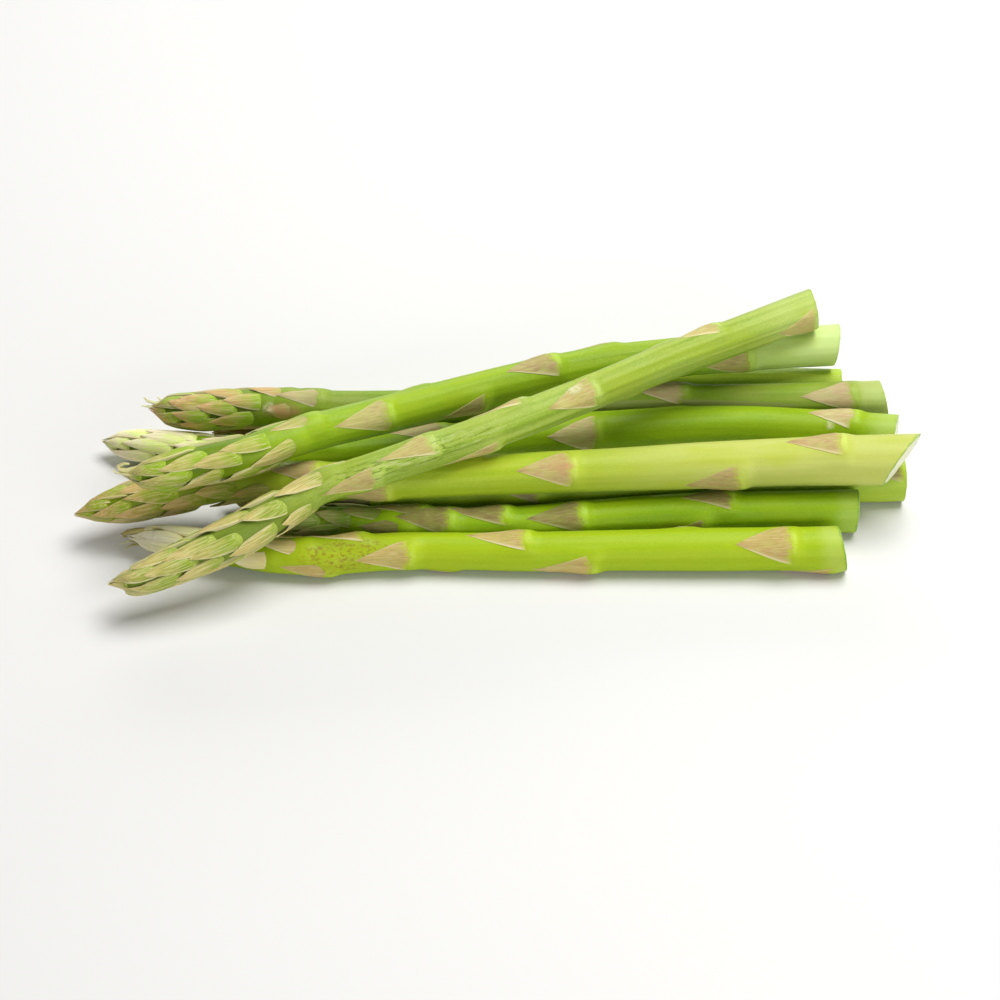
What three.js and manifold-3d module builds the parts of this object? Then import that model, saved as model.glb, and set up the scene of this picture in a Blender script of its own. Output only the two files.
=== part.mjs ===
// A loose bundle of nine trimmed asparagus spears lying in a low pile.
// Millimetres, +Z up. The origin is on the surface that the pile lies on, under its middle.
// Each spear is one closed body: its stem, its node ridges, the scales on its stem and the
// overlapping scales of its head have grown together.

import * as THREE from 'three';
import { mergeVertices } from 'three/addons/utils/BufferGeometryUtils.js';
import Module from 'manifold-3d';

const wasm = await Module();
wasm.setup();

// ---- driving dimensions ----
const stemSides = 10;
const ringStep = 24; // between the stem's plain rings
const headRingStep = 22;
const lastRings = [3.5, 1]; // from the tip
const closestRings = 1.2;
const cutSetback = 4; // from the cut end to the next ring
const cutEasing = 16; // from the cut end to where its slant has gone
const stemScaleLength = 16;
const stemScaleReach = 52; // half the angle that a scale's foot takes up, in degrees
const stemScaleRise = [0.2, 0.7, 0.35]; // height over the stem at the foot, the middle and the tip
const headScaleLength = 15.5;
const headScaleHalfWidth = [3.3, 2.5]; // at the foot of a head and at its top
const headScaleLift = 1; // how much thinner a head's core is than its outline
const headStart = 6; // into the head, where its core starts to thin
const headThinning = 20; // over this length
const headScaleRise = [-0.1, 0.4, 0.2]; // height over the head's outline
const headScaleEasing = 12; // into the head, by where its scales have risen to these heights
const steepestReach = 80; // the most that half of a head's scale takes up, in degrees
const widestShare = 0.3; // of a head scale's length, where it is widest
const scaleMiddle = 0.42; // of its length, where its middle row is
const stemScaleWaist = 0.69; // of its foot's width, how wide its middle row is
const headScaleWaist = 0.83; // of the same for a head's scale
const edgeDrop = 0.3; // how much lower a scale's side edges lie
const keelDepth = 1.6;
const thinnestKeel = 0.3; // of the core's radius, how far out a keel at least is
const keelStart = 0.05; // of a scale's length, where its keel starts
const keelEnd = 0.62; // where its tip starts to stand free
const oppositeStep = 3; // from a head's scale to the one behind it, along the spear
const farSide = 230; // the middle of the side that the scales behind are on
const farSpread = 0.5; // how far they spread over it, as a share of those in front
const tipClosing = 6; // from the tip to where the head starts to close to a point
const tipOverrun = 0.2; // past the tip, where the head would have closed
const tipBluntness = 0.62; // 1 closes it as a cone, and less makes it rounder
const tipClearance = 0.4; // from the tip of a head's scale to the tip of the spear, at least
const ridgeHeight = 0.9; // of the swelling under each scale's foot
const ridgeLength = 3.6;
const ridgeFade = 12; // from the foot to where the swelling has gone
const ridgeFadePower = 1.3; // how early it sinks along the spear
const ridgeReach = 75; // degrees to each side
const ridgeSidePower = 0.8; // how full it stays to the sides
const coreTipRadius = 0.7;
const pileMiddle = [-0.51, 4.34]; // x and y of the pile's middle in the routes below

// ---- the spears ----
// route: points along the middle of the spear from the cut end to the tip, as x, y, z and the
// spear's radius there. cut: how far the end's plane leans, as a slope, and towards which angle.
// Angles go round the spear in degrees from the top towards -Y.
// head: where the head starts, from the cut end.
// scales, headScales: each scale as its distance from the cut end and its angle, and where they
// differ from the usual ones, more: for a stem's scale half the angle that its foot takes up and
// its length, for a head's scale its length and how far its tip leans round the spear.
const spears = [
  {
    name: 'spear_on_top', colour: '#98ae4b', head: 146, cut: [0.47, 250],
    route: [
      [92.4, 54.4, 28.5, 5.5], [70.5, 40, 29.5, 5.4], [47, 25.5, 30, 5.3], [20.5, 8.5, 30, 5.1],
      [-2.5, -5, 29.5, 5.0], [-34.5, -18, 26, 4.8], [-51.5, -23.3, 22.7, 5.2], [-72.5, -36.9, 17.5, 5.9],
      [-96, -47.3, 12.5, 4.5], [-102, -48.4, 12, 2.7], [-106.5, -49, 11.5, 1.2],
    ],
    scales: [
      [1, 98], [18, 215], [35, 338, 44, 14.5], [50, 255], [66, 195], [80, 46], [101, 318, 44],
      [112.5, 128, 44], [130, 24, 38],
    ],
    headScales: [
      [147, 74], [158.4, 14, 17.3, -16], [166.6, 114, 11.6, -30], [173.5, 41, 14.3, -33], [178.6, 90],
      [183, -14, 16.5, -8], [188.7, 59, 15.6, -10], [195, 28, 16.1, -6], [195.2, 100],
      [201.7, 58, 16.7, -18], [205.5, -4, 14.1, 4], [207, 100, 15, -10], [212, 34],
    ],
  },
  {
    name: 'spear_back_upper', colour: '#8fa83f', head: 158, cut: [0.23, 289],
    route: [
      [100.2, 53.5, 15.5, 6.2], [74, 48.5, 17, 6], [48.5, 43, 18.5, 5.7], [29.5, 37.5, 20, 5.6],
      [0.5, 24.5, 22.5, 5.5], [-30.5, 8.5, 25, 5.4], [-54, -3.5, 27, 5.4], [-69, -12.5, 27.5, 6],
      [-82.5, -17.5, 27.5, 5.8], [-93.5, -21.5, 27.5, 4.8], [-104, -21.5, 27, 1.2],
    ],
    scales: [
      [12, 260], [28, 82], [48, 215], [68, 285], [88, 8], [112.5, 112, 52, 14], [128, 265],
      [142, 50, 52, 17.5],
    ],
    headScales: [
      [163.2, 0, 14.3], [169.4, 68, 16, 20], [177.5, 26, 15.4], [181.5, 112, 12.1, 20],
      [186.3, 50, 15.7], [191.7, 88, 14.5, 40], [195.4, 30, 14.5, 12], [197.5, -38, 16.7, 36],
      [201.1, 70, 13.4, 14], [205.3, 101, 12.4, 20], [207, 30],
    ],
  },
  {
    name: 'spear_back_lowest', colour: '#7d9638', head: 148, cut: [0, 0],
    route: [
      [102, 49, 4.15, 4.5], [84, 49.5, 4.15, 4.5], [48, 49, 4.15, 4.5], [18, 46, 4.1, 4.4],
      [-13.5, 40.5, 4, 4.3], [-44, 34, 4, 4.3], [-64.5, 30, 4, 4.3], [-75, 28, 3.6, 3.2],
      [-85, 26.5, 3.2, 1.2],
    ],
    scales: [[24, 250], [52, 290], [80, 20], [108, 280], [132, 70]],
    headScales: [[151, 40], [160, 300], [168, 70], [174, 10]],
  },
  {
    name: 'spear_back_second', colour: '#8d9a45', head: 165, cut: [0.22, 140],
    route: [
      [113.5, 39, 6.5, 5.4], [83, 38.5, 6, 5.2], [47.5, 38.5, 6, 5.1], [17.5, 35.5, 7.5, 5],
      [-13, 31.5, 9.5, 5], [-45, 26.5, 12.5, 5.2], [-58, 25.5, 13.5, 5.7], [-72.5, 25, 14, 5.9],
      [-87, 23.5, 14, 5.5], [-96, 24, 14, 4.2], [-102.5, 25, 14, 1.2],
    ],
    scales: [[9, 39], [34, 205], [59, 14], [86, 265], [112, 330], [134, 80], [150, 225]],
    headScales: [
      [166.5, 20, 13.3, -8], [172.6, 62, 9.9], [175.6, -1, 11.6, -15], [182, 36, 13.2, -10],
      [184.3, 89, 15], [188, 4, 12.4, -22], [190, 54, 12.9, -16], [195.9, 17, 11.8, -10],
      [196, 104, 11.4], [198.3, 84, 10.7, -21], [199.5, 44, 11.6, -26], [204, 12], [205.7, 77, 10.7, 30],
    ],
  },
  {
    name: 'spear_middle', colour: '#93ab42', head: 178, cut: [0.16, 262],
    route: [
      [115.6, 23, 5.55, 6], [92.5, 25, 5.65, 6.1], [66.5, 26.5, 5.75, 6.2], [29, 24, 5.65, 6.1],
      [0, 21.5, 5.45, 5.9], [-31.5, 16, 5.3, 5.7], [-58, 13.5, 5.2, 5.6], [-84, 15, 5.2, 5.5],
      [-101.5, 17.5, 5.2, 5.2], [-110.5, 19.5, 4.9, 3.6], [-116.5, 21, 5, 1.2],
    ],
    scales: [
      [12, 352, 52, 14], [38, 215], [62, 255], [87.5, 54, 52, 15], [110, 300], [132.5, 350], [152, 250],
      [166, 330],
    ],
    headScales: [
      [181, 60], [186, 4], [193, 88], [196, 36], [203, 346], [205.1, 12], [209.3, 42, 16.4],
      [214.6, 80, 17, 30], [218, 350],
    ],
  },
  {
    name: 'spear_thickest', colour: '#9cb04e', head: 166, cut: [0.8, 301],
    route: [
      [112.9, -6, 19.9, 7.2], [79.5, -6.5, 19.3, 6.7], [39, -8, 18.2, 6.15], [1.5, -9.5, 17.4, 5.75],
      [-29, -11, 16.5, 5.4], [-44, -10.5, 16, 5.1], [-65.5, -9, 15, 5.1], [-81.5, -10.5, 13.5, 5.6],
      [-95.5, -12, 12, 6], [-106.5, -15, 11, 5.2], [-119.5, -18, 9.5, 1.2],
    ],
    scales: [[17, 356, 44], [45.5, 104], [72, 235], [92.5, 42], [120, 300], [144, 92]],
    headScales: [
      [164.1, 22, 13.9], [174, 90], [185.4, 71, 13.2, -9], [192, 14], [194.9, 90, 14.5],
      [202.3, 64, 17.1, -27], [204, 14], [206.8, 89, 17], [215.7, 6, 13.9, -24], [217, 60, 11.8, 20],
      [222, 2, 10.8, -20],
    ],
  },
  {
    name: 'spear_under_thickest', colour: '#768d35', head: 148, cut: [0, 0],
    route: [
      [115.2, 2.4, 5.75, 6.2], [103, 1.8, 5.75, 6.2], [57, 0, 5.65, 6.1], [9.5, -2.5, 5.35, 5.8],
      [-28.5, -4, 4.9, 5.3], [-57, -4.5, 4.7, 5], [-71, -4.5, 4.7, 3.8], [-79, -3.5, 4.4, 1.2],
    ],
    scales: [[0.4, 8], [34, 300], [70, 350], [104, 32], [130, 290]],
    headScales: [[150, 75], [159, 15], [167, 60], [174, 100]],
  },
  {
    name: 'spear_front_inner', colour: '#8ba53f', head: 122, cut: [0.08, 320],
    route: [
      [100.6, -11.6, 5.65, 6.1], [67.5, -12.2, 5.55, 6], [39.5, -13.4, 5.25, 5.7], [1.5, -17, 4.8, 5.2],
      [-30, -16, 4.65, 5], [-50.5, -15.5, 4.9, 5.2], [-63, -17, 4.5, 3.8], [-71.5, -18.5, 4, 1.2],
    ],
    scales: [
      [12, 215], [35.5, 352, 52, 14], [43, 100, 36, 11], [60, 205], [77.5, 30], [99, 357], [114, 26],
    ],
    headScales: [
      [122, -12], [126, 64], [131, 8], [141, 42, 11.5, -22], [144, 84], [150, 44], [155, 10], [158, 80],
    ],
  },
  {
    name: 'spear_front', colour: '#97af45', head: 140, cut: [0.19, 140],
    route: [
      [95, -27.8, 5.85, 6.3], [39, -28, 5.3, 5.75], [4.5, -28.3, 4.95, 5.4], [-25.5, -27.7, 4.8, 5.25],
      [-47.5, -30, 5, 5.4], [-63, -30, 5.1, 5.4], [-75, -28, 5, 5.2], [-95, -23.5, 4.9, 4.3],
      [-104.5, -21.5, 4.9, 1.2],
    ],
    scales: [
      [3.6, 157], [14, 33, 58], [42, 262], [69, 112, 52, 17], [87.5, 354, 52, 17], [108, 180],
      [119.5, 66, 48], [133, 322],
    ],
    headScales: [
      [142.2, 110, 13.3, -21], [148.6, 23, 13.2, -16], [157.7, 66, 10.4, 12], [162, 10], [170, 46],
      [174, 100], [177, 350], [182, 32], [184, 72],
    ],
  },
];

// ---- small helpers ----
const radians = (degrees) => (degrees * Math.PI) / 180;
const mix = (from, to, share) => from + (to - from) * share;
const turned = (angle, from) => ((((angle - from) % 360) + 540) % 360) - 180;
const limit = (value) => Math.min(Math.max(value, 0), 1);
const smooth = (value) => limit(value) ** 2 * (3 - 2 * limit(value));

// ---- a spear's middle line ----
// A smooth line through the route's points, with the radius carried along it.
function smoothRoute(route) {
  const last = route.length - 1;
  const before = route[0].map((value, k) => 2 * value - route[1][k]);
  const after = route[last].map((value, k) => 2 * value - route[last - 1][k]);
  const knots = [before, ...route, after];
  const stepsPerSpan = 24;
  const samples = [];
  for (let span = 1; span <= last; span += 1) {
    for (let step = 0; step < stepsPerSpan; step += 1) {
      const t = step / stepsPerSpan;
      samples.push(route[0].map((_, k) => {
        const [a, b, c, d] = [0, 1, 2, 3].map((offset) => knots[span - 1 + offset][k]);
        return 0.5 * (2 * b + (c - a) * t + (2 * a - 5 * b + 4 * c - d) * t * t
          + (3 * b - a - 3 * c + d) * t * t * t);
      }));
    }
  }
  samples.push(route[last]);
  return samples;
}

// The line's point, directions and radius at any distance from the cut end. Before the first
// point and past the last one it runs on straight.
function middleLine(route) {
  const samples = smoothRoute(route);
  const places = samples.map(([x, y, z]) => new THREE.Vector3(x, y, z));
  const distances = [0];
  for (let i = 1; i < places.length; i += 1) {
    distances.push(distances[i - 1] + places[i].distanceTo(places[i - 1]));
  }
  const length = distances[distances.length - 1];
  const at = (distance) => {
    const inside = Math.min(Math.max(distance, 0), length - 1e-6);
    let i = 1;
    while (distances[i] < inside) i += 1;
    const share = (inside - distances[i - 1]) / (distances[i] - distances[i - 1]);
    const from = places[Math.max(i - 3, 0)];
    const to = places[Math.min(i + 2, places.length - 1)];
    const forward = to.clone().sub(from).normalize();
    const up = new THREE.Vector3(0, 0, 1).addScaledVector(forward, -forward.z).normalize();
    const side = up.clone().cross(forward);
    const point = places[i - 1].clone().lerp(places[i], share);
    point.addScaledVector(forward, distance - inside);
    return { point, forward, up, side, radius: mix(samples[i - 1][3], samples[i][3], share) };
  };
  return { at, length };
}

// A point of the spear, given by its distance along it, its angle and its distance out.
function place(line, distance, angle, out) {
  const { point, up, side } = line.at(distance);
  return point
    .addScaledVector(up, Math.cos(radians(angle)) * out)
    .addScaledVector(side, Math.sin(radians(angle)) * out);
}

// ---- closed meshes ----
function toSolid(points, triangles) {
  return new wasm.Manifold(new wasm.Mesh({
    numProp: 3,
    vertProperties: new Float32Array(points.flatMap((point) => point.toArray())),
    triVerts: new Uint32Array(triangles.flat()),
  }));
}

function geometryToSolid(geometry) {
  geometry.deleteAttribute('normal');
  geometry.deleteAttribute('uv');
  const merged = mergeVertices(geometry);
  return new wasm.Manifold(new wasm.Mesh({
    numProp: 3,
    vertProperties: new Float32Array(merged.attributes.position.array),
    triVerts: new Uint32Array(merged.index.array),
  }));
}

// ---- the stem ----
// The bare stem's radius: the head has a thinner core, which its scales cover.
function coreRadius(spear, line, distance) {
  const intoHead = limit((distance - spear.head - headStart) / headThinning);
  return Math.max(line.at(distance).radius - headScaleLift * intoHead, coreTipRadius);
}

// How much of a scale's swelling the stem has at a place, from 0 to 1.
function ridge(spear, distance, angle) {
  let most = 0;
  for (const [foot, turn] of spear.scales) {
    const along = distance - foot;
    const around = turned(angle, turn);
    if (Math.abs(around) < ridgeReach) {
      const start = smooth((along + ridgeLength) / ridgeLength);
      const rise = start * (1 - smooth(along / ridgeFade)) ** ridgeFadePower;
      const aside = Math.cos(radians((around * 90) / ridgeReach)) ** ridgeSidePower;
      most = Math.max(most, rise * aside);
    }
  }
  return most;
}

const stemRadius = (spear, line, distance, angle) => (
  coreRadius(spear, line, distance) + ridgeHeight * ridge(spear, distance, angle)
);

// 1 along the spear, falling to 0 where its head closes to a point.
const closing = (line, distance) => limit((line.length + tipOverrun - distance) / tipClosing) ** tipBluntness;

function ringPlaces(spear, line) {
  const places = [0, cutSetback];
  for (const [foot] of spear.scales) {
    places.push(foot - ridgeLength, foot);
  }
  for (let s = spear.head; s < line.length - lastRings[0]; s += headRingStep) places.push(s);
  places.push(...lastRings.map((back) => line.length - back));
  const ordered = places.filter((s) => s === 0 || s >= cutSetback).sort((a, b) => a - b);
  const spread = [0];
  for (const s of ordered.slice(1)) {
    const gap = s - spread[spread.length - 1];
    if (gap < closestRings) continue;
    const extra = Math.floor(gap / ringStep);
    const from = spread[spread.length - 1];
    for (let k = 1; k <= extra; k += 1) spread.push(from + (gap * k) / (extra + 1));
    spread.push(s);
  }
  return spread;
}

// How far a place near the cut end is moved along the spear, so that the end leans.
function cutSlant(spear, distance, angle, out) {
  const [slope, towards] = spear.cut;
  return -slope * out * Math.cos(radians(angle - towards)) * limit(1 - distance / cutEasing);
}

function stemSolid(spear, line) {
  const points = [];
  const triangles = [];
  const places = ringPlaces(spear, line);
  places.forEach((distance) => {
    for (let j = 0; j < stemSides; j += 1) {
      const angle = ((j + 0.5) * 360) / stemSides;
      const out = stemRadius(spear, line, distance, angle) * closing(line, distance);
      points.push(place(line, distance + cutSlant(spear, distance, angle, out), angle, out));
    }
  });
  for (let i = 0; i < places.length - 1; i += 1) {
    for (let j = 0; j < stemSides; j += 1) {
      const a = i * stemSides + j;
      const b = i * stemSides + ((j + 1) % stemSides);
      triangles.push([a, a + stemSides, b + stemSides], [a, b + stemSides, b]);
    }
  }
  const lastRing = (places.length - 1) * stemSides;
  const cutMiddle = points.push(line.at(0).point) - 1;
  const tip = points.push(line.at(line.length).point) - 1;
  for (let j = 0; j < stemSides; j += 1) {
    const next = (j + 1) % stemSides;
    triangles.push([cutMiddle, j, next], [tip, lastRing + next, lastRing + j]);
  }
  return toSolid(points, triangles);
}

// ---- a scale ----
// A pointed blade that hugs the stem: two rows of three points, at its foot and its middle, then
// the tip. Its underside runs in to a keel inside the stem, so that it is solid all through.
function scaleSolid(spear, line, { foot, angle, length, reach, lean, waist, headness }) {
  const points = [];
  const outAt = (row, distance, turn) => {
    const under = row === 0 ? stemRadius(spear, line, distance, turn) : coreRadius(spear, line, distance);
    const onHead = line.at(distance).radius + headScaleRise[row];
    return mix(under + stemScaleRise[row], onHead, headness) * closing(line, distance);
  };
  [0, scaleMiddle].forEach((share, row) => {
    const distance = foot + share * length;
    for (const side of [-1, 0, 1]) {
      const turn = angle + lean * share + side * reach * (row === 0 ? 1 : waist);
      const out = outAt(row, distance, turn) - edgeDrop * Math.abs(side) * row;
      points.push(place(line, distance + cutSlant(spear, distance, turn, out), turn, out));
    }
  });
  const tipPlace = foot + length;
  const tip = points.push(place(line, tipPlace, angle + lean, outAt(2, tipPlace, angle + lean))) - 1;
  const keel = (share) => {
    const distance = foot + share * length;
    const core = coreRadius(spear, line, distance) * closing(line, distance);
    return place(line, distance, angle + lean * share, Math.max(core - keelDepth, core * thinnestKeel));
  };
  const rootKeel = points.push(keel(keelStart)) - 1;
  const tipKeel = points.push(keel(keelEnd)) - 1;
  return toSolid(points, [
    [0, 3, 4], [0, 4, 1], [1, 4, 5], [1, 5, 2], [3, tip, 4], [4, tip, 5],
    [3, 0, rootKeel], [0, 1, rootKeel], [1, 2, rootKeel], [2, 5, rootKeel],
    [3, rootKeel, tipKeel], [tip, 3, tipKeel], [5, tip, tipKeel], [rootKeel, 5, tipKeel],
  ]);
}

function stemScales(spear) {
  return spear.scales.map(([foot, angle, reach = stemScaleReach, length = stemScaleLength]) => ({
    foot, angle, length, reach, lean: 0, waist: stemScaleWaist, headness: 0,
  }));
}

// A head's scales. Every second one has another behind it.
function headScales(spear, line) {
  const behind = spear.headScales
    .filter((_, k) => k % 2 === 0)
    .map(([foot, angle]) => [foot + oppositeStep, farSide - farSpread * turned(angle, farSide - 180)]);
  return [...spear.headScales, ...behind].map(([foot, angle, wanted = headScaleLength, lean = 0]) => {
    const share = limit((foot - spear.head) / (line.length - spear.head));
    const length = Math.min(wanted, line.length - foot - tipClearance);
    const halfWidth = mix(headScaleHalfWidth[0], headScaleHalfWidth[1], share);
    const widest = (halfWidth / line.at(foot + widestShare * length).radius) * (180 / Math.PI);
    const reach = Math.min(widest, steepestReach);
    const headness = limit((foot - spear.head) / headScaleEasing);
    return { foot, angle, length, reach, lean, waist: headScaleWaist, headness };
  });
}

// ---- one spear ----
// A spear that lies on the surface is pressed flat where it touches it.
const blockWidth = 400;
const blockDepth = 20;
const belowSurface = new THREE.BoxGeometry(blockWidth, blockWidth, blockDepth);
belowSurface.translate(0, 0, -blockDepth / 2);
const belowSurfaceSolid = geometryToSolid(belowSurface);

function spearMesh(spear) {
  const line = middleLine(spear.route);
  let solid = stemSolid(spear, line);
  for (const scale of [...stemScales(spear), ...headScales(spear, line)]) {
    solid = solid.add(scaleSolid(spear, line, scale));
  }
  const { vertProperties, triVerts } = solid.subtract(belowSurfaceSolid).getMesh();
  const geometry = new THREE.BufferGeometry();
  geometry.setAttribute('position', new THREE.BufferAttribute(vertProperties, 3));
  geometry.setIndex(new THREE.BufferAttribute(triVerts, 1));
  geometry.computeVertexNormals();
  const material = new THREE.MeshStandardMaterial({
    color: spear.colour, roughness: 0.45, metalness: 0,
  });
  const mesh = new THREE.Mesh(geometry, material);
  mesh.name = spear.name;
  mesh.position.set(-pileMiddle[0], -pileMiddle[1], 0);
  return mesh;
}

const group = new THREE.Group();
for (const spear of spears) group.add(spearMesh(spear));

export default group;
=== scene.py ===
"""A loose pile of trimmed asparagus spears.

Each spear is one fine mesh, which stands for its plain solid: the ribbed stem with its swellings
and pointed scales, the overlapping scales of its head, and its fibrous cut end. Lengths are in
millimetres and angles in degrees, as in the part's source, until a mesh is made. An angle round a
spear counts from its top towards the camera, and a distance along it from its cut end.
"""

import math
from collections import namedtuple

import bpy
import numpy as np
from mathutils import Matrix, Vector


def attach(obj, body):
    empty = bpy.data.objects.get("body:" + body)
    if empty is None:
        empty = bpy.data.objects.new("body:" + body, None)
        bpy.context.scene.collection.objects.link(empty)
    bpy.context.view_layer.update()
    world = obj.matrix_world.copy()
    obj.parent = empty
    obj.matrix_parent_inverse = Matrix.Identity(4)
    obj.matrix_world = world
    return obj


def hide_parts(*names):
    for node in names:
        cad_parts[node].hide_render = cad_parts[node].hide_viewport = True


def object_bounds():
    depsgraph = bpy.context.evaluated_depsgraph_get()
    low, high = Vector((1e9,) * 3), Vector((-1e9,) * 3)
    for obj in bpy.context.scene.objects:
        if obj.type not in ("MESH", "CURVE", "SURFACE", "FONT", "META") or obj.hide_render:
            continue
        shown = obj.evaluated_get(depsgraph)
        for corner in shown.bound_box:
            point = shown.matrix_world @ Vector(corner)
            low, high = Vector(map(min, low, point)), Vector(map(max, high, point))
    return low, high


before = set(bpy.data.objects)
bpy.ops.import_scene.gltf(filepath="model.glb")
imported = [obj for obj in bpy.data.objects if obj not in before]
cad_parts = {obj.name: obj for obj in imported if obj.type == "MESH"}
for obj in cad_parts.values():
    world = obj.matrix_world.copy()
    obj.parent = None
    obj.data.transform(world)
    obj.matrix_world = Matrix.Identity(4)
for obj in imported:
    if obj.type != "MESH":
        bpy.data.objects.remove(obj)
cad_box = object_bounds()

MM = 0.001
PILE_MIDDLE = (-0.51, 4.34)  # in the routes below

# ---- shape, the same values as in the part's source ----
STEM_SCALE_LENGTH = 16.0
STEM_SCALE_REACH = 52.0  # to each side of its middle, at its foot
HEAD_SCALE_LENGTH = 15.5
HEAD_SCALE_HALF_WIDTH = (3.3, 2.5)  # at the foot of a head and at its top
HEAD_SCALE_LIFT = 1.0  # how much thinner a head's core is than its outline
HEAD_START = 6.0  # into the head, where its core starts to thin
HEAD_THINNING = 20.0  # over this length
HEAD_SCALE_EASING = 12.0  # into the head, by where its scales are a bud's covers
STEEPEST_REACH = 80.0  # of half of a head's scale, at most
WIDEST_SHARE = 0.3  # of its length, up to where it is widest
OPPOSITE_STEP = 3.0  # from a head's scale to the one on the far side
FAR_SIDE = 230.0  # the middle of that side
FAR_SPREAD = 0.5  # how far those spread, as a share of those in front
TIP_CLOSING = 6.0  # from the tip to where the head starts to close
TIP_OVERRUN = 0.2  # past the tip, where the head would have closed
TIP_BLUNTNESS = 0.62  # 1 closes it as a cone, and less is rounder
TIP_CLEARANCE = 0.4  # from a scale's tip to the spear's, at least
RIDGE_HEIGHT = 0.9  # of the swelling under each scale's foot
RIDGE_LENGTH = 3.6
RIDGE_FADE = 12.0  # from the foot to where the swelling has gone
RIDGE_FADE_POWER = 1.3  # how early it sinks
RIDGE_REACH = 75.0  # to each side
RIDGE_SIDE_POWER = 0.8  # how full it stays
CORE_TIP_RADIUS = 0.7
CUT_EASING = 16.0  # from the cut end to where its slant has gone

# ---- finer shape of stem and head ----
RIDGE_SHOULDER = 0.3  # before the foot, where the swelling is full
FIRST_HEAD_RIDGE = 0.95  # where a head starts, as a share of a stem's swelling
HEAD_RIDGE_FADE = 45.0  # into the head, by where its nodes swell no more
# Ribs: how many, how high, and the length over which they sway.
RIBS = ((5, 0.05, 19.0), (9, 0.045, 24.0), (14, 0.035, 29.0), (22, 0.018, 34.0))
RIB_SWAY = 0.7  # in radians
RIB_PHASES = 6.28
SWELLS = ((0.06, 7.3), (0.09, 23.0))  # slow unevenness: height and length
RELIEF_FADE = 18.0  # into the head, by where ribs and swells have gone
# The rings of the cut end and its edge: distance, and share of the stem's radius.
CUT_RINGS = (
    (0.0, 0.25), (0.0, 0.5), (0.0, 0.75), (0.0, 0.9), (0.0, 0.955), (0.02, 0.985),
    (0.1, 0.996), (0.25, 1.0), (0.5, 1.0),
)
CUT_DEPTH = 0.05  # up to here a ring belongs to the cut end
CUT_WAVE = (0.072, 0.2, 9.0)  # height of its grain, its waves round it and outwards
STEM_RINGS = (0.9, 1.0)  # from the ends of the spear to the first and the last even ring
UNCOUNTED = 3.0  # the length left out when they are counted
HEAD_SHADE = (8.0, 40.0)  # into the head, between which its core turns dark: painted shade for the crevices between its scales
MARK_SOFTNESS = 0.7
TIP_SCALES = 5
TIP_START = (11.0, 5.5)  # from the first and the last one's foot to the tip
GOLDEN_ANGLE = 137.5  # from one to the next
BETWEEN_STEP = 5.0  # from a head's scale to one that fills the gap beside it
BETWEEN_ANGLES = (300.0, 152.0)  # the middles of the gaps, filled by turns
BETWEEN_SPREAD = 0.15
BETWEEN_CLEARANCE = 1.5  # over the surface, from where the lower gap has room
HEAD_LENGTHS = (0.92, 1.08)  # as a share of the usual one
FIRST_SEEDS = (0.5, 20.5)  # of the stem's scales and of the head's

# ---- a scale: u runs from its foot, 0, to its tip, 1, and v across it, -1 to 1 ----
FOOT_ROWS = (0.0, 0.012, 0.035, 0.07)  # close rows at its foot
FIRST_EVEN_ROW = 0.11
TAPER = (1.05, 1.35)  # a stem scale's sides, from straight to hollow
LEAF_WIDTH = (0.75, 0.9, 0.85, 0.86)  # a head scale's: at its foot, growth, tip power, divisor
NARROWEST = 0.015  # share of its width that is left at the tip
STEM_BOW = (-0.3, 1.2)  # how far the sides of its foot lie ahead of its middle
HEAD_BOW = (-0.8, 0.7)
SKEW = 0.7  # how far one side of the foot is ahead of the other, at most
FOOT_WAVE = (0.35, 5.0, 6.0)  # height, waves across and range of phases of a wavy foot
TIP_SWAY = 6.0  # how far a stem scale's tip turns aside, at most
STEM_CROWN = 0.3  # share of its height over the stem that its sides lack
HEAD_CROWN = 0.27  # how much lower a head scale's sides are
PLUMP = (0.2, 0.33, 0.24)  # height, middle and spread of the swelling near its foot
VEINS = (0.05, 16.0, 9.0)  # height, waves across and range of phases of its veins
SETTLING = (4.0, 12.0)  # from the tip, where scales start to stand out, and over what length
LEAST_SETTLED = 0.15
STEM_DEPTH = 0.5  # from a stem scale's face to its hidden underside
HEAD_DEPTH = 0.4  # from the core's face to a head scale's underside
FREE_THICKNESS = (0.3, 0.14)  # of the free tip, in the middle and at the sides
LEAST_OUT = 0.05
EDGE_POWER = 3.5  # how narrow the pale edge is
EDGE_SHARES = (0.6, 1.0)  # how pale it is on one side and on the other
# Ramps: from the first number to the second, as u goes from the third to the fourth.
TIP_DIP = (0.0, 0.1, 0.85, 1.0)  # how far its tip bends down
STEM_RISE = (-0.08, 0.22, -0.01, 0.12)  # its height over the stem
HEAD_FOOT = (-1.15, 0.0, -0.02, 0.2)  # its height over the head's outline
HEAD_RISE = (0.0, 0.35, 0.1, 0.65)  # what is added to that
VEINS_START = (0.0, 1.0, 0.15, 0.4)
VEINS_END = (1.0, 0.0, 0.8, 1.0)
TIP_SINK = (0.8, 0.0, 0.25, 0.9)  # how much lower the last scales are
COMING_FREE = (0.0, 1.0, 0.6, 0.85)  # from rooted in the head to free
EDGE_TIP = (0.0, 0.6, 0.93, 1.0)

# ---- a wisp ----
WISP_TAPER = (0.75, 1.5)  # share of its thickness that it loses, and how late
WISP_FLATNESS = 0.5
WISP_TILT = (0.3, 0.2, 1.0)  # its broad side lies across this direction
WISP_CLIMB = 0.6  # it is coloured as this height of a scale

# ---- fineness ----
STEM_SIDES = 80
STEM_STEP = 0.9
SCALE_ROWS = 20
SCALE_COLUMNS = 13
WISP_ROWS = 16
WISP_SIDES = 8
SHARP_ANGLE = 50.0
GRAIN_SHIFT = 300.0  # between two spears' grain
BOX_EASING = 0.22  # within which the outermost points are eased into the CAD box

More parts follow.
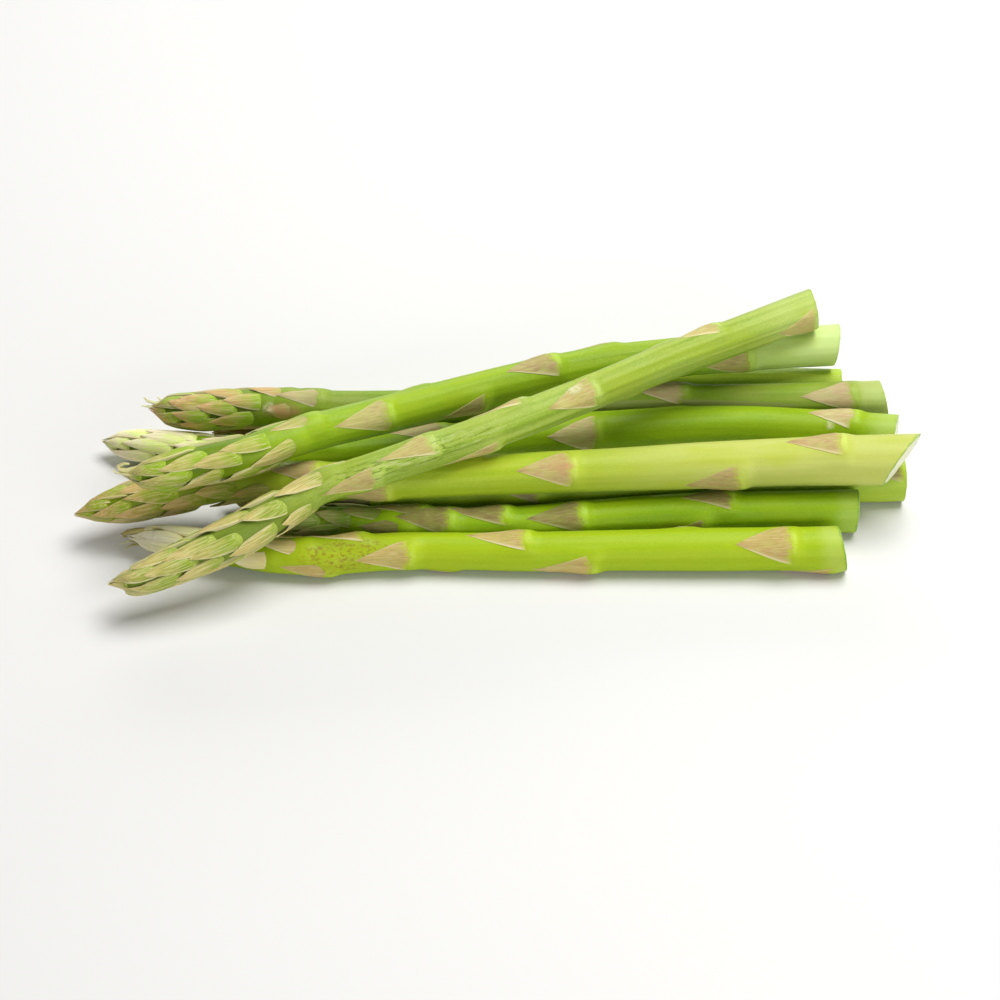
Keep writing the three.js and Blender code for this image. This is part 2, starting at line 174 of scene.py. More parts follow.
# route: x, y, z and radius along its middle. head: where its head starts. turn: of the tip's
# first scale. cut: how steep its end is, and the side that leans out. ribs: how strong they are.
# scales: foot, angle and any own reach and length. head_scales: foot, angle and any own length
# and lean. marks: kind, middle, angle, half length and half angle. wisps: loose bits at the tip,
# by distance, angle and distance out, then thickness and how pale.
SPEARS = [
    dict(
        name="spear_on_top", head=146, turn=31, cut=(0.47, 250), slot="bright_green_skin",
        ribs=1.9, seed=1,
        marks=[("torn", 137, 48, 32, 48), ("pale", 86, 19, 3, 14)],
        route=[
            (92.4, 54.4, 28.5, 5.5), (70.5, 40, 29.5, 5.4), (47, 25.5, 30, 5.3),
            (20.5, 8.5, 30, 5.1), (-2.5, -5, 29.5, 5.0), (-34.5, -18, 26, 4.8),
            (-51.5, -23.3, 22.7, 5.2), (-72.5, -36.9, 17.5, 5.9), (-96, -47.3, 12.5, 4.5),
            (-102, -48.4, 12, 2.7), (-106.5, -49, 11.5, 1.2),
        ],
        scales=[
            (1, 98), (18, 215), (35, 338, 44, 14.5), (50, 255), (66, 195), (80, 46),
            (101, 318, 44), (112.5, 128, 44), (130, 24, 38),
        ],
        head_scales=[
            (147, 74), (158.4, 14, 17.3, -16), (166.6, 114, 11.6, -30), (173.5, 41, 14.3, -33),
            (178.6, 90), (183, -14, 16.5, -8), (188.7, 59, 15.6, -10), (195, 28, 16.1, -6),
            (195.2, 100), (201.7, 58, 16.7, -18), (205.5, -4, 14.1, 4), (207, 100, 15, -10),
            (212, 34),
        ],
    ),
    dict(
        name="spear_back_upper", head=158, turn=12, cut=(0.23, 289), slot="olive_green_skin",
        ribs=0.8, seed=2,
        wisps=[
            (
                [
                    (212, -40, 2.2), (216, -40, 1.5), (218.6, -42, 1.1), (220.3, -42, 1.5),
                    (220.7, -40, 2.4), (219.5, -38, 3.1), (217.8, -36, 3),
                ],
                1.5, 0.35,
            ),
            (
                [(215, 60, 1.4), (219, 40, 1), (221.6, -10, 0.9), (222.6, -35, 1.6)],
                0.7, 0.7,
            ),
        ],
        route=[
            (100.2, 53.5, 15.5, 6.2), (74, 48.5, 17, 6), (48.5, 43, 18.5, 5.7),
            (29.5, 37.5, 20, 5.6), (0.5, 24.5, 22.5, 5.5), (-30.5, 8.5, 25, 5.4),
            (-54, -3.5, 27, 5.4), (-69, -12.5, 27.5, 6), (-82.5, -17.5, 27.5, 5.8),
            (-93.5, -21.5, 27.5, 4.8), (-104, -21.5, 27, 1.2),
        ],
        scales=[
            (12, 260), (28, 82), (48, 215), (68, 285), (88, 8), (112.5, 112, 52, 14), (128, 265),
            (142, 50, 52, 17.5),
        ],
        head_scales=[
            (163.2, 0, 14.3), (169.4, 68, 16, 20), (177.5, 26, 15.4), (181.5, 112, 12.1, 20),
            (186.3, 50, 15.7), (191.7, 88, 14.5, 40), (195.4, 30, 14.5, 12),
            (197.5, -38, 16.7, 36), (201.1, 70, 13.4, 14), (205.3, 101, 12.4, 20), (207, 30),
        ],
    ),
    dict(
        name="spear_back_lowest", head=148, turn=20, cut=(0, 0), slot="olive_green_skin",
        ribs=1.0, seed=3,
        route=[
            (102, 49, 4.15, 4.5), (84, 49.5, 4.15, 4.5), (48, 49, 4.15, 4.5), (18, 46, 4.1, 4.4),
            (-13.5, 40.5, 4, 4.3), (-44, 34, 4, 4.3), (-64.5, 30, 4, 4.3), (-75, 28, 3.6, 3.2),
            (-85, 26.5, 3.2, 1.2),
        ],
        scales=[(24, 250), (52, 290), (80, 20), (108, 280), (132, 70)],
        head_scales=[(151, 40), (160, 300), (168, 70), (174, 10)],
    ),
    dict(
        name="spear_back_second", head=165, turn=16, cut=(0.22, 140), slot="olive_green_skin",
        ribs=0.9, seed=4,
        marks=[("blush", 177.5, 62, 6, 28), ("pale", 181.5, 55, 1.8, 22), ("grey", 66, 68, 45, 22)],
        wisps=[
            (
                [(211, -40, 2), (215, -40, 1.6), (217.5, -40, 2), (218.6, -40, 3)],
                1, 1,
            ),
            ([(212, 20, 1.2), (216, 0, 0.6), (219, 20, 0.7)], 0.9, 1),
            (
                [(211, -60, 2.4), (213.5, -60, 2.7), (215, -50, 3.6)],
                0.8, 1,
            ),
        ],
        route=[
            (113.5, 39, 6.5, 5.4), (83, 38.5, 6, 5.2), (47.5, 38.5, 6, 5.1), (17.5, 35.5, 7.5, 5),
            (-13, 31.5, 9.5, 5), (-45, 26.5, 12.5, 5.2), (-58, 25.5, 13.5, 5.7),
            (-72.5, 25, 14, 5.9), (-87, 23.5, 14, 5.5), (-96, 24, 14, 4.2), (-102.5, 25, 14, 1.2),
        ],
        scales=[(9, 39), (34, 205), (59, 14), (86, 265), (112, 330), (134, 80), (150, 225)],
        head_scales=[
            (166.5, 20, 13.3, -8), (172.6, 62, 9.9), (175.6, -1, 11.6, -15), (182, 36, 13.2, -10),
            (184.3, 89, 15), (188, 4, 12.4, -22), (190, 54, 12.9, -16), (195.9, 17, 11.8, -10),
            (196, 104, 11.4), (198.3, 84, 10.7, -21), (199.5, 44, 11.6, -26), (204, 12),
            (205.7, 77, 10.7, 30),
        ],
    ),
    dict(
        name="spear_middle", head=178, turn=40, cut=(0.16, 262), slot="bright_green_skin",
        ribs=0.7, seed=5,
        marks=[("pale", 19.6, 34, 1.4, 15)],
        route=[
            (115.6, 23, 5.55, 6), (92.5, 25, 5.65, 6.1), (66.5, 26.5, 5.75, 6.2),
            (29, 24, 5.65, 6.1), (0, 21.5, 5.45, 5.9), (-31.5, 16, 5.3, 5.7),
            (-58, 13.5, 5.2, 5.6), (-84, 15, 5.2, 5.5), (-101.5, 17.5, 5.2, 5.2),
            (-110.5, 19.5, 4.9, 3.6), (-116.5, 21, 5, 1.2),
        ],
        scales=[
            (12, 352, 52, 14), (38, 215), (62, 255), (87.5, 54, 52, 15), (110, 300), (132.5, 350),
            (152, 250), (166, 330),
        ],
        head_scales=[
            (181, 60), (186, 4), (193, 88), (196, 36), (203, 346), (205.1, 12), (209.3, 42, 16.4),
            (214.6, 80, 17, 30), (218, 350),
        ],
    ),
    dict(
        name="spear_thickest", head=166, turn=22, cut=(0.8, 301), slot="bright_green_skin",
        ribs=0.6, seed=6,
        marks=[("blush", 96, 35, 4.5, 22)],
        route=[
            (112.9, -6, 19.9, 7.2), (79.5, -6.5, 19.3, 6.7), (39, -8, 18.2, 6.15),
            (1.5, -9.5, 17.4, 5.75), (-29, -11, 16.5, 5.4), (-44, -10.5, 16, 5.1),
            (-65.5, -9, 15, 5.1), (-81.5, -10.5, 13.5, 5.6), (-95.5, -12, 12, 6),
            (-106.5, -15, 11, 5.2), (-119.5, -18, 9.5, 1.2),
        ],
        scales=[(17, 356, 44), (45.5, 104), (72, 235), (92.5, 42), (120, 300), (144, 92)],
        head_scales=[
            (164.1, 22, 13.9), (174, 90), (185.4, 71, 13.2, -9), (192, 14), (194.9, 90, 14.5),
            (202.3, 64, 17.1, -27), (204, 14), (206.8, 89, 17), (215.7, 6, 13.9, -24),
            (217, 60, 11.8, 20), (222, 2, 10.8, -20),
        ],
    ),
    dict(
        name="spear_under_thickest", head=148, turn=75, cut=(0, 0), slot="olive_green_skin",
        ribs=0.8, seed=7,
        route=[
            (115.2, 2.4, 5.75, 6.2), (103, 1.8, 5.75, 6.2), (57, 0, 5.65, 6.1),
            (9.5, -2.5, 5.35, 5.8), (-28.5, -4, 4.9, 5.3), (-57, -4.5, 4.7, 5),
            (-71, -4.5, 4.7, 3.8), (-79, -3.5, 4.4, 1.2),
        ],
        scales=[(0.4, 8), (34, 300), (70, 350), (104, 32), (130, 290)],
        head_scales=[(150, 75), (159, 15), (167, 60), (174, 100)],
    ),
    dict(
        name="spear_front_inner", head=122, turn=354, cut=(0.08, 320), slot="bright_green_skin",
        ribs=0.8, seed=8,
        route=[
            (100.6, -11.6, 5.65, 6.1), (67.5, -12.2, 5.55, 6), (39.5, -13.4, 5.25, 5.7),
            (1.5, -17, 4.8, 5.2), (-30, -16, 4.65, 5), (-50.5, -15.5, 4.9, 5.2),
            (-63, -17, 4.5, 3.8), (-71.5, -18.5, 4, 1.2),
        ],
        scales=[
            (12, 215), (35.5, 352, 52, 14), (43, 100, 36, 11), (60, 205), (77.5, 30), (99, 357),
            (114, 26),
        ],
        head_scales=[
            (122, -12), (126, 64), (131, 8), (141, 42, 11.5, -22), (144, 84), (150, 44),
            (155, 10), (158, 80),
        ],
    ),
    dict(
        name="spear_front", head=140, turn=35, cut=(0.19, 140), slot="bright_green_skin",
        ribs=0.7, seed=9,
        marks=[("rust", 138, 50, 15, 70)],
        wisps=[
            (
                [
                    (188, -40, 2.6), (193, -40, 2.3), (197, -40, 2), (200.2, -35, 1.2),
                    (201.4, 0, 0.3), (200.6, 90, 0.5),
                ],
                1.7, 0.15,
            ),
            (
                [(195, 140, 1.4), (198.5, 140, 2.2), (200.8, 138, 3.8)],
                0.6, 0.5,
            ),
            (
                [(195, 110, 1.2), (199.5, 120, 1.5), (202.4, 130, 2.6)],
                0.5, 0.9,
            ),
        ],
        route=[
            (95, -27.8, 5.85, 6.3), (39, -28, 5.3, 5.75), (4.5, -28.3, 4.95, 5.4),
            (-25.5, -27.7, 4.8, 5.25), (-47.5, -30, 5, 5.4), (-63, -30, 5.1, 5.4),
            (-75, -28, 5, 5.2), (-95, -23.5, 4.9, 4.3), (-104.5, -21.5, 4.9, 1.2),
        ],
        scales=[
            (3.6, 157), (14, 33, 58), (42, 262), (69, 112, 52, 17), (87.5, 354, 52, 17),
            (108, 180), (119.5, 66, 48), (133, 322),
        ],
        head_scales=[
            (142.2, 110, 13.3, -21), (148.6, 23, 13.2, -16), (157.7, 66, 10.4, 12), (162, 10),
            (170, 46), (174, 100), (177, 350), (182, 32), (184, 72),
        ],
    ),
]

# ---- colours, linear ----
BUTT_PALE = (0.70, 0.78, 0.32)
# butt: length, share and colour of the pale end. bands: how strong the stripes are. skin: darker
# and lighter green and the yellowest. scale: dry tan, dusky mauve and green. rim: a scale's edge.
# dusk: how dusky the scales are. head: a bud's colours at its foot and tip. budding: between
# which these set in. cut_rim: how far the cut's darker rim covers, partly the rind's own green
# and partly painted shade.
LOOKS = {
    "spear_on_top": dict(
        butt=(30, 0.2, BUTT_PALE), bands=1.0,
        skin=((0.176, 0.29, 0.011), (0.422, 0.528, 0.106), (0.334, 0.414, 0.026)),
        scale=((0.56, 0.48, 0.17), (0.4, 0.27, 0.11), (0.24, 0.33, 0.05)),
        rim=(0.72, 0.66, 0.36), dusk=0.15,
        head=((0.275, 0.363, 0.039), (0.572, 0.473, 0.165)),
    ),
    "spear_back_upper": dict(
        # Its butt end is partly pale of its own and partly painted light, brightened where the
        # spear on top shades it.
        butt=(48, 0.8, (0.59, 0.72, 0.28)), bands=0.6,
        skin=((0.15, 0.30, 0.003), (0.36, 0.51, 0.03), (0.34, 0.45, 0.01)),
        scale=((0.528, 0.462, 0.176), (0.352, 0.242, 0.11), (0.22, 0.33, 0.033)),
        rim=(0.682, 0.638, 0.33), dusk=0.3,
        head=((0.275, 0.413, 0.019), (0.525, 0.438, 0.15)),
    ),
    "spear_back_lowest": dict(
        butt=(60, 0.0, BUTT_PALE), bands=0.5,
        # Painted light: this skin is much paler than the others', making up for the shade that the
        # spears over it cast.
        skin=((0.29, 0.48, 0.02), (0.64, 0.78, 0.10), (0.58, 0.69, 0.07)),
        scale=((0.38, 0.27, 0.11), (0.24, 0.14, 0.07), (0.14, 0.2, 0.03)),
        rim=(0.48, 0.4, 0.18), dusk=0.6,
        head=((0.12, 0.17, 0.012), (0.3, 0.19, 0.07)),
    ),
    "spear_back_second": dict(
        butt=(12, 0.5, BUTT_PALE), bands=0.5,
        skin=((0.13, 0.25, 0.008), (0.29, 0.41, 0.03), (0.32, 0.37, 0.07)),
        scale=((0.56, 0.48, 0.24), (0.48, 0.33, 0.19), (0.28, 0.34, 0.08)),
        rim=(0.66, 0.58, 0.34), dusk=0.35,
        head=((0.31, 0.47, 0.03), (0.63, 0.41, 0.17)),
    ),
    "spear_middle": dict(
        butt=(10, 0.25, BUTT_PALE), bands=0.35,
        skin=((0.149, 0.31, 0.003), (0.368, 0.529, 0.017), (0.345, 0.483, 0.011)),
        scale=((0.624, 0.528, 0.228), (0.504, 0.336, 0.18), (0.36, 0.504, 0.156)),
        rim=(0.864, 0.768, 0.504), dusk=0.3,
        head=((0.78, 0.90, 0.28), (0.95, 0.85, 0.58)),
    ),
    "spear_thickest": dict(
        butt=(110, 0.5, (0.64, 0.60, 0.22)), bands=0.45,
        skin=((0.25, 0.40, 0.003), (0.46, 0.55, 0.05), (0.41, 0.49, 0.02)),
        scale=((0.546, 0.441, 0.168), (0.42, 0.263, 0.126), (0.273, 0.367, 0.053)),
        rim=(0.672, 0.588, 0.294), dusk=0.3,
        head=((0.273, 0.367, 0.021), (0.546, 0.378, 0.137)), cut_rim=0.6,
    ),
    "spear_under_thickest": dict(
        butt=(20, 0.15, BUTT_PALE), bands=0.35,
        skin=((0.15, 0.30, 0.003), (0.42, 0.58, 0.022), (0.38, 0.50, 0.022)),
        scale=((0.38, 0.34, 0.13), (0.26, 0.18, 0.09), (0.16, 0.26, 0.03)),
        rim=(0.5, 0.46, 0.22), dusk=0.4,
        head=((0.16, 0.24, 0.02), (0.26, 0.22, 0.08)),
    ),
    "spear_front_inner": dict(
        butt=(8, 0.15, BUTT_PALE), bands=0.35,
        skin=((0.143, 0.30, 0.003), (0.323, 0.48, 0.01), (0.314, 0.437, 0.006)),
        scale=((0.31, 0.275, 0.075), (0.22, 0.16, 0.06), (0.155, 0.25, 0.025)),
        rim=(0.468, 0.45, 0.198), dusk=0.4,
        head=((0.18, 0.28, 0.03), (0.3, 0.26, 0.1)), cut_rim=0.85,
    ),
    "spear_front": dict(
        butt=(8, 0.2, BUTT_PALE), bands=0.35,
        skin=((0.246, 0.405, 0.003), (0.422, 0.546, 0.018), (0.387, 0.475, 0.009)),
        scale=((0.55, 0.43, 0.14), (0.42, 0.27, 0.10), (0.28, 0.36, 0.06)),
        rim=(0.756, 0.67, 0.389), dusk=0.25,
        # Its bud's colours are partly its own pale tan and partly painted light, brightened near
        # white against the shade the spear on top casts on its head.
        head=((0.92, 0.90, 0.46), (0.95, 0.90, 0.68)), budding=(148, 180), cut_rim=0.85,
    ),
}
RUST_YELLOW = (0.36, 0.34, 0.02)
RUST_BROWN = (0.24, 0.17, 0.01)
TORN_PALE = (0.62, 0.62, 0.34)
BLUSH = (0.56, 0.28, 0.15)
GREY_BLOOM = (0.30, 0.33, 0.10)
CUT_PALE = (0.80, 0.81, 0.56)
CUT_RIM = (0.18, 0.36, 0.02)
# How far the darker band at a skin's cut edge covers: partly the rind's own green, partly painted
# shade.
CUT_RIM_SHARE = 0.25
BUDDING = (0.0, 1.0)

# ---- the grain of the materials ----
# Noise: how close it is along and across the spear, detail and roughness.
NOISES = dict(
    broad=((0.012, 0.55, 0.55), 3.0, 0.6),
    streaks=((0.02, 2.2, 2.2), 3.0, 0.6),
    drift=((0.05, 0.12, 0.12), 2.0, 0.5),
    speckle=((1.1, 2.4, 2.4), 3.0, 0.7),
    mottle=((0.28, 0.5, 0.5), 3.0, 0.6),
    veins=((0.09, 3.0, 3.0), 2.0, 0.6),
    ragged=((0.5, 1.1, 1.1), 3.0, 0.65),
    rusty=((0.8, 1.1, 1.1), 4.0, 0.75),
    tears=((0.16, 1.5, 1.5), 4.0, 0.65),
    fine=((0.12, 7.0, 7.0), 2.0, 0.6),
    grit=((3.0, 3.5, 3.5), 2.0, 0.6),
)
FLECK_CELLS = (0.55, 0.8, 0.8)
FIBRE_CELLS = (0.0, 1.6, 1.6)
# Layers of colour: the values at which one sets in and is full, and how far it then covers.
LAYERS = dict(
    streaks=(0.45, 0.75, 0.2),
    light_specks=(0.52, 0.7, 0.45),
    dark_specks=(0.48, 0.3, 0.45),
    yellow=(0.4, 0.7, 0.5),
    flecks=(0.14, 0.05, 0.35),
    ridge=(0.3, 0.9, 0.45),
    crest=(1.0, 1.3, 0.45),
    cut_rim=(1.5, 0.7, 1.0),
    dusky=(0.4, 1.1, 1.0),
    greenish=(0.62, 0.38, 0.2),
    dusky_foot=(0.3, 0.0, 0.45),
    dusky_tip=(0.72, 1.0, 0.6),
    bud_tip=(0.8, 1.55, 1.0),
    pale_veins=(0.5, 0.66, 1.0),
    dark_veins=(0.48, 0.32, 1.0),
    edge=(0.35, 0.9, 0.85),
    above_foot=(0.145, 0.355, 1.0),
    grey=(0.1, 0.3, 0.75),
    rust_spots=(0.5, 0.6, 0.75),
    torn_pale=(0.54, 0.64, 0.4),
    torn_dark=(0.46, 0.38, 0.6),
    scratch=(0.35, 0.55, 1.0),
    fibres=(0.32, 0.1, 1.0),
    flesh_rim=(0.86, 0.97, 1.0),
)
STRIPES = (0.1, 0.9)
BLUSH_SPAN = (0.3, 0.6, 0.2, 0.6)
CORE_SHADE = 0.6  # how dark the painted shade on a head's core is, between its scales
RUST_SHARE = 0.3
PALER = (1.25, 0.08, 0.9)  # factor, addition and limit, from the green to its flecks
# How much darker each dark colour is than its green; core is the painted shade between a head's
# scales.
DARKER = dict(core=0.4, scale_veins=0.5, bud_veins=0.55, fibres=0.72)
BUTT_FADE = 0.4  # of the butt's length, up to where it is palest
CREST_SPECKS = 0.5  # how far specks break up a swelling's light crest
CUT_RIM_SPECKS = 1.2
USUAL_DUSK = 0.25
TINT_DUSK = 0.5  # how far a scale's own tint makes it dusky
DUSK_SHARE = 0.5  # against its mottle
TINT_RED = 0.5
RED_SHARE = 0.9  # of tint and mottle, against the height on the scale
PALE_VEINS = (0.25, 0.25)  # what a head adds, and what is anywhere
DARK_VEINS = (0.25, 0.2)
FOOT_RAGGED = 0.35
FOOT_GREEN = 0.55  # of a bud's own green, in its foot
SKIN_ROUGHNESS = (0.3, 0.7, 0.36, 0.46)
SCALE_ROUGHNESS = 0.2  # added on a scale
FINE_HEIGHT = 0.6
GRIT_HEIGHTS = (0.5, 0.25)  # what a scale adds, and what is anywhere
BUMP = {"Strength": 0.35, "Distance": 0.00012}
SPEAR_SHADER = {
    "Specular IOR Level": 0.14, "Subsurface Weight": 0.12,
    "Subsurface Radius": (0.6, 1.0, 0.25), "Subsurface Scale": 0.001,
}
FLOOR_SHADER = {
    "Base Color": (0.72, 0.715, 0.70, 1.0), "Roughness": 0.6, "Specular IOR Level": 0.2,
}

# ---- floor, light and camera, in metres ----
FLOOR_SIZE = 6.0
FLOOR_DROP = 0.0004
LIGHTS = (  # name, place, size and power
    ("key", (0.32, 0.16, 1.0), (0.8, 0.6), 13.0),
    ("fill", (0.45, -1.1, 0.42), (1.0, 0.5), 7.0),
    ("back", (-0.1, 1.1, 0.45), (1.2, 0.3), 5.0),
)
WORLD_STRENGTH = 0.2
VIEW_ELEVATION = math.radians(40.0)
VIEW_DISTANCE = 0.786
FOCAL_PIXELS = 2741.0
IMAGE_PIXELS = 1000.0
SENSOR_MM = 36.0
CLIP_SPAN = (0.01, 20.0)


# ---- small helpers ----
def mix(low, high, share):
    return low + (high - low) * share


def smooth(value, low, high):
    """0 below low, 1 above high and a smooth rise between."""
    t = np.clip((value - low) / (high - low), 0.0, 1.0)
    return t * t * (3.0 - 2.0 * t)


def ramp(value, shape):
    before, after, low, high = shape
    return mix(before, after, smooth(value, low, high))


def draw(seed):
    """A repeatable value from 0 to 1."""
    value = math.sin(seed * 12.9898) * 43758.5453
    return value - math.floor(value)


def around(angle, turn):
    """The angle between two directions round the spear, from -180 to 180."""
    return (np.asarray(angle, float) - turn + 540.0) % 360.0 - 180.0


def eased(room):
    """The distance to a limit, eased so that nothing passes it."""
    return BOX_EASING * np.logaddexp(0.0, room / BOX_EASING)


# ---- the middle line of a spear ----
class MiddleLine:
    """A smooth line through a route's points, with the spear's radius carried along it."""

    STEPS = 24

    def __init__(self, route):
        points = np.array(route, float)
        knots = np.vstack([2 * points[0] - points[1], points, 2 * points[-1] - points[-2]])
        samples = []
        for span in range(1, len(points)):
            a, b, c, d = knots[span - 1 : span + 3]
            for step in range(self.STEPS):
                t = step / self.STEPS
                square = (2 * a - 5 * b + 4 * c - d) * t * t
                cube = (3 * b - a - 3 * c + d) * t**3
                samples.append(0.5 * (2 * b + (c - a) * t + square + cube))
        samples.append(points[-1])
        self.samples = np.array(samples)
        steps = np.linalg.norm(np.diff(self.samples[:, :3], axis=0), axis=1)
        self.distances = np.concatenate([[0.0], np.cumsum(steps)])
        self.length = float(self.distances[-1])
        forward = np.gradient(self.samples[:, :3], self.distances, axis=0)
        self.forward = forward / np.linalg.norm(forward, axis=1, keepdims=True)

    def radius(self, distance):
        return np.interp(distance, self.distances, self.samples[:, 3])

    def along(self, distance, table):
        return np.stack([np.interp(distance, self.distances, table[:, k]) for k in range(3)], -1)

    def place(self, distance, angle, out):
        """Points at a distance along the line, an angle round it and a distance out."""
        distance, angle, out = np.broadcast_arrays(distance, angle, out)
        inside = np.clip(distance, 0.0, self.length)
        point = self.along(inside, self.samples)
        forward = self.along(inside, self.forward)
        forward /= np.linalg.norm(forward, axis=-1, keepdims=True)
        up = np.array([0.0, 0.0, 1.0]) - forward * forward[..., 2:3]
        up /= np.linalg.norm(up, axis=-1, keepdims=True)
        side = np.cross(up, forward)
        turn = np.radians(angle)[..., None]
        past = (distance - inside)[..., None]
        outward = up * np.cos(turn) + side * np.sin(turn)
        return point + forward * past + outward * out[..., None]


# ---- a mesh gathered from rings ----
class Skin:
    """Gathers closed tubes of rings, with values for the material at every point."""

    VALUES = (
        "scale", "climb", "margin", "tint", "ridge", "cut", "in_head",
        "rust", "torn", "pale", "blush", "grey",
    )

    def __init__(self):
        self.points, self.grain, self.faces = [], [], []
        self.values = {name: [] for name in self.VALUES}
        self.count = 0

    def tube(self, points, grain, values):
        """Adds rows x columns of points, closed round each row and shut at both ends."""
        rows, columns = points.shape[:2]
        for table, added in ((self.points, points), (self.grain, grain)):
            table += [added.reshape(-1, 3), np.array([added[0].mean(0), added[-1].mean(0)])]
        for name in self.VALUES:
            table = np.broadcast_to(np.asarray(values.get(name, 0.0), float), (rows, columns))
            self.values[name] += [table.ravel(), [table[0].mean(), table[-1].mean()]]
        i, j = np.meshgrid(np.arange(rows), np.arange(columns), indexing="ij")
        here = self.count + i * columns + j
        beside = self.count + i * columns + (j + 1) % columns
        walls = [here[:-1], here[1:], beside[1:], beside[:-1]]
        self.faces.append(np.stack(walls, -1).reshape(-1, 4))
        middle = np.full(columns, self.count + rows * columns)
        self.faces.append(np.stack([middle, here[0], beside[0]], -1))
        self.faces.append(np.stack([middle + 1, beside[-1], here[-1]], -1))
        self.count += rows * columns + 2

    def build(self, name):
        """One object of all the tubes, in metres."""
        points = np.concatenate(self.points)
        points[:, :2] -= PILE_MIDDLE
        lowest, highest = np.array(cad_box, float) / MM
        points = highest - eased(highest - points)
        points[:, :2] = lowest[:2] + eased((points - lowest)[:, :2])
        points[:, 2] = np.maximum(points[:, 2], 0.0)
        mesh = bpy.data.meshes.new(name)
        mesh.vertices.add(len(points))
        mesh.vertices.foreach_set("co", (points * MM).astype(np.float32).ravel())
        sizes = np.concatenate([np.full(len(f), f.shape[1]) for f in self.faces])
        corners = np.concatenate([f.ravel() for f in self.faces])
        mesh.loops.add(len(corners))
        mesh.loops.foreach_set("vertex_index", corners.astype(np.int32))
        mesh.polygons.add(len(sizes))
        starts = np.concatenate([[0], np.cumsum(sizes)[:-1]])
        mesh.polygons.foreach_set("loop_start", starts.astype(np.int32))
        mesh.polygons.foreach_set("use_smooth", np.ones(len(sizes), bool))
        mesh.update(calc_edges=True)
        grain = mesh.attributes.new("grain", "FLOAT_VECTOR", "POINT")
        grain.data.foreach_set("vector", np.concatenate(self.grain).astype(np.float32).ravel())
        for value in self.VALUES:
            layer = mesh.attributes.new(value, "FLOAT", "POINT")
            table = np.concatenate(self.values[value])
            layer.data.foreach_set("value", table.astype(np.float32))
        mesh.validate()
        mesh.set_sharp_from_angle(angle=math.radians(SHARP_ANGLE))
        piece = bpy.data.objects.new(name, mesh)
        bpy.context.scene.collection.objects.link(piece)
        return piece


# ---- the stem ----
def ridge(spear, distance, angle):
    """How much of a node's swelling there is at a place, from 0 to 1."""
    total = np.zeros(np.broadcast(distance, angle).shape)
    for foot, turn, *_ in spear["scales"] + spear["head_scales"]:
        into_head = (foot - spear["head"]) / HEAD_RIDGE_FADE
        share = 1.0 if into_head < 0.0 else FIRST_HEAD_RIDGE * max(1.0 - into_head, 0.0)
        along = distance - foot
        start = smooth(along, -RIDGE_LENGTH, -RIDGE_SHOULDER)
        rise = share * start * (1.0 - smooth(along, 0.0, RIDGE_FADE)) ** RIDGE_FADE_POWER
        turned = np.abs(around(angle, turn))
        level = np.cos(np.radians(turned * 90.0 / RIDGE_REACH))
        fall = np.where(turned < RIDGE_REACH, level, 0.0)
        total = np.maximum(total, rise * fall**RIDGE_SIDE_POWER)
    return total


def core_radius(spear, line, distance):
    into_head = np.clip((distance - spear["head"] - HEAD_START) / HEAD_THINNING, 0.0, 1.0)
    return np.maximum(line.radius(distance) - HEAD_SCALE_LIFT * into_head, CORE_TIP_RADIUS)


def closing(line, distance):
    """1 along the spear, falling to 0 where its head closes to a point."""
    to_tip = np.clip((line.length + TIP_OVERRUN - distance) / TIP_CLOSING, 0.0, 1.0)
    return to_tip**TIP_BLUNTNESS


def relief(spear, distance, angle):
    """Lengthwise ribs and a slow unevenness, in millimetres."""
    turn = np.radians(angle)
    seed = spear["seed"]
    out = np.zeros(np.broadcast(distance, angle).shape)
    for k, (count, height, length) in enumerate(RIBS):
        phase = draw(seed * 7 + k) * RIB_PHASES
        sway = RIB_SWAY * np.sin(distance / length + phase * 2)
        out = out + height * spear["ribs"] * np.cos(count * turn + phase + sway)
    for k, (height, length) in enumerate(SWELLS, 1):
        out = out + height * np.sin(distance / length + k * seed)
    return out


def stem_radius(spear, line, distance, angle):
    in_stem = 1.0 - np.clip((distance - spear["head"]) / RELIEF_FADE, 0.0, 1.0)
    plain = core_radius(spear, line, distance) + relief(spear, distance, angle) * in_stem
    return plain + RIDGE_HEIGHT * ridge(spear, distance, angle)


def grain_at(spear, distance, angle, out):
    """Coordinates along and across the straightened spear, so that streaks follow its bends."""
    turn = np.radians(angle)
    along = np.broadcast_to(distance + GRAIN_SHIFT * spear["seed"], turn.shape)
    return np.stack([along, out * np.cos(turn), out * np.sin(turn)], -1)


def cut_slant(spear, distance, angle, out):
    """How far along the spear a place near the cut end moves, so that the end leans."""
    slope, towards = spear["cut"]
    near = np.clip(1.0 - distance / CUT_EASING, 0.0, 1.0)
    return -slope * out * np.cos(np.radians(around(angle, towards))) * near


def marks(spear, distance, angle, kinds):
    """How much of each kind of mark there is at a place: oval patches with soft edges."""
    found = {kind: np.zeros(np.broadcast(distance, angle).shape) for kind in kinds}
    for kind, middle, turn, half_length, half_angle in spear.get("marks", []):
        if kind in kinds:
            along = (distance - middle) / half_length
            aside = around(angle, turn) / half_angle
            patch = smooth(1.0 - (along**2 + aside**2), 0.0, MARK_SOFTNESS)
            found[kind] = np.maximum(found[kind], patch)
    return found


